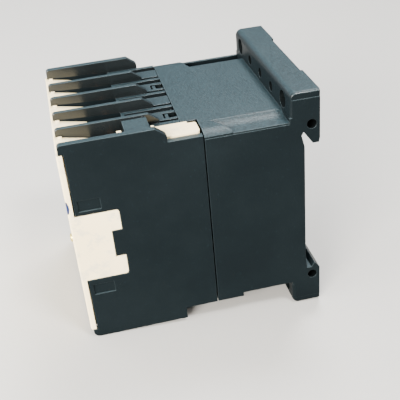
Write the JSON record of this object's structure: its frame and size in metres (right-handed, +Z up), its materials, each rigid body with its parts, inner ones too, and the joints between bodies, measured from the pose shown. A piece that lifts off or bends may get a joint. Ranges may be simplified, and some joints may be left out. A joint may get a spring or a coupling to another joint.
{
  "type": "contactor",
  "caption": "Miniature rail-mounted contactor with finned terminal cells, sprung contact carrier, magnet and rail latch.",
  "frame": {"origin": "middle of the body's width and depth, on the level of the underside of the mounting flange", "axes": "+X to the coil-terminal side, +Y back towards the rail, +Z up along the rail hook's side, terminals up and down"},
  "size_m": [0.045, 0.0586, 0.058],
  "materials": {
    "body": "fine-grained dark slate thermoplastic",
    "cream": "fine-grained ivory thermoplastic",
    "blue": "smooth dark blue plastic",
    "natural_plastic": "natural glass-filled plastic",
    "black_plastic": "glass-filled black plastic",
    "zinc_steel": "zinc-plated steel",
    "core_steel": "ground laminated core steel",
    "spring_steel": "drawn spring wire",
    "copper_alloy": "rolled copper alloy",
    "silver_alloy": "silver contact alloy",
    "brass": "turned brass",
    "winding": "enamelled copper wire under tape",
    "rubber": "soft rubber"
  },
  "bodies": {
    "contactor_body": {"blue_insert": "blue", "clamp_washers": "zinc_steel", "coil_blade_bottom": "copper_alloy", "coil_blade_top": "copper_alloy", "coil_bobbin": "natural_plastic", "coil_marker": "cream", "coil_winding": "winding", "core_pads": "rubber", "fixed_core": "core_steel", "fixed_tips": "silver_alloy", "front_cover": "cream", "front_housing": "body", "latch_spring": "spring_steel", "line_contact_1": "copper_alloy", "line_contact_2": "copper_alloy", "line_contact_3": "copper_alloy", "line_contact_4": "copper_alloy", "load_contact_1": "copper_alloy", "load_contact_2": "copper_alloy", "load_contact_3": "copper_alloy", "load_contact_4": "copper_alloy", "rear_base": "body", "return_springs": "spring_steel", "shading_rings": "copper_alloy", "terminal_screws": "zinc_steel"},
    "carrier": {"contact_carrier": "black_plastic", "armature_core": "core_steel", "armature_pin": "zinc_steel", "indicator_pin": "brass", "contact_spring_1": "spring_steel", "contact_spring_2": "spring_steel", "contact_spring_3": "spring_steel", "contact_spring_4": "spring_steel"},
    "contact_bridge_1": {"bridge_1": "copper_alloy", "bridge_tips_1": "silver_alloy"},
    "contact_bridge_2": {"bridge_2": "copper_alloy", "bridge_tips_2": "silver_alloy"},
    "contact_bridge_3": {"bridge_3": "copper_alloy", "bridge_tips_3": "silver_alloy"},
    "contact_bridge_4": {"bridge_4": "copper_alloy", "bridge_tips_4": "silver_alloy"},
    "latch": {"rail_latch": "black_plastic"}
  },
  "joints": [
    {"name": "carrier_slide", "type": "slide", "parent": "contactor_body", "child": "carrier", "axis": [0, 1, 0], "range_m": [0, 0.0039], "stiffness_N_per_m": 600, "springref_m": -0.002, "deforming": ["return_springs"]},
    {"name": "bridge_1_slide", "type": "slide", "parent": "carrier", "child": "contact_bridge_1", "axis": [0, 1, 0], "range_m": [-0.0012, 0], "stiffness_N_per_m": 1500, "springref_m": 0.0006, "deforming": ["contact_spring_1"]},
    {"name": "bridge_2_slide", "type": "slide", "parent": "carrier", "child": "contact_bridge_2", "axis": [0, 1, 0], "range_m": [-0.0012, 0], "stiffness_N_per_m": 1500, "springref_m": 0.0006, "deforming": ["contact_spring_2"]},
    {"name": "bridge_3_slide", "type": "slide", "parent": "carrier", "child": "contact_bridge_3", "axis": [0, 1, 0], "range_m": [-0.0012, 0], "stiffness_N_per_m": 1500, "springref_m": 0.0006, "deforming": ["contact_spring_3"]},
    {"name": "bridge_4_slide", "type": "slide", "parent": "carrier", "child": "contact_bridge_4", "axis": [0, 1, 0], "range_m": [-0.0012, 0], "stiffness_N_per_m": 1500, "springref_m": 0.0006, "deforming": ["contact_spring_4"]},
    {"name": "latch_slide", "type": "slide", "parent": "contactor_body", "child": "latch", "axis": [0, 0, -1], "range_m": [0, 0.0025], "stiffness_N_per_m": 1200, "springref_m": -0.001, "deforming": ["latch_spring"]}
  ],
  "couplings": [
    {"joint": "bridge_1_slide", "follows": "carrier_slide", "ratio": -0.3076},
    {"joint": "bridge_2_slide", "follows": "carrier_slide", "ratio": -0.3076},
    {"joint": "bridge_3_slide", "follows": "carrier_slide", "ratio": -0.3076},
    {"joint": "bridge_4_slide", "follows": "carrier_slide", "ratio": -0.3076}
  ]
}
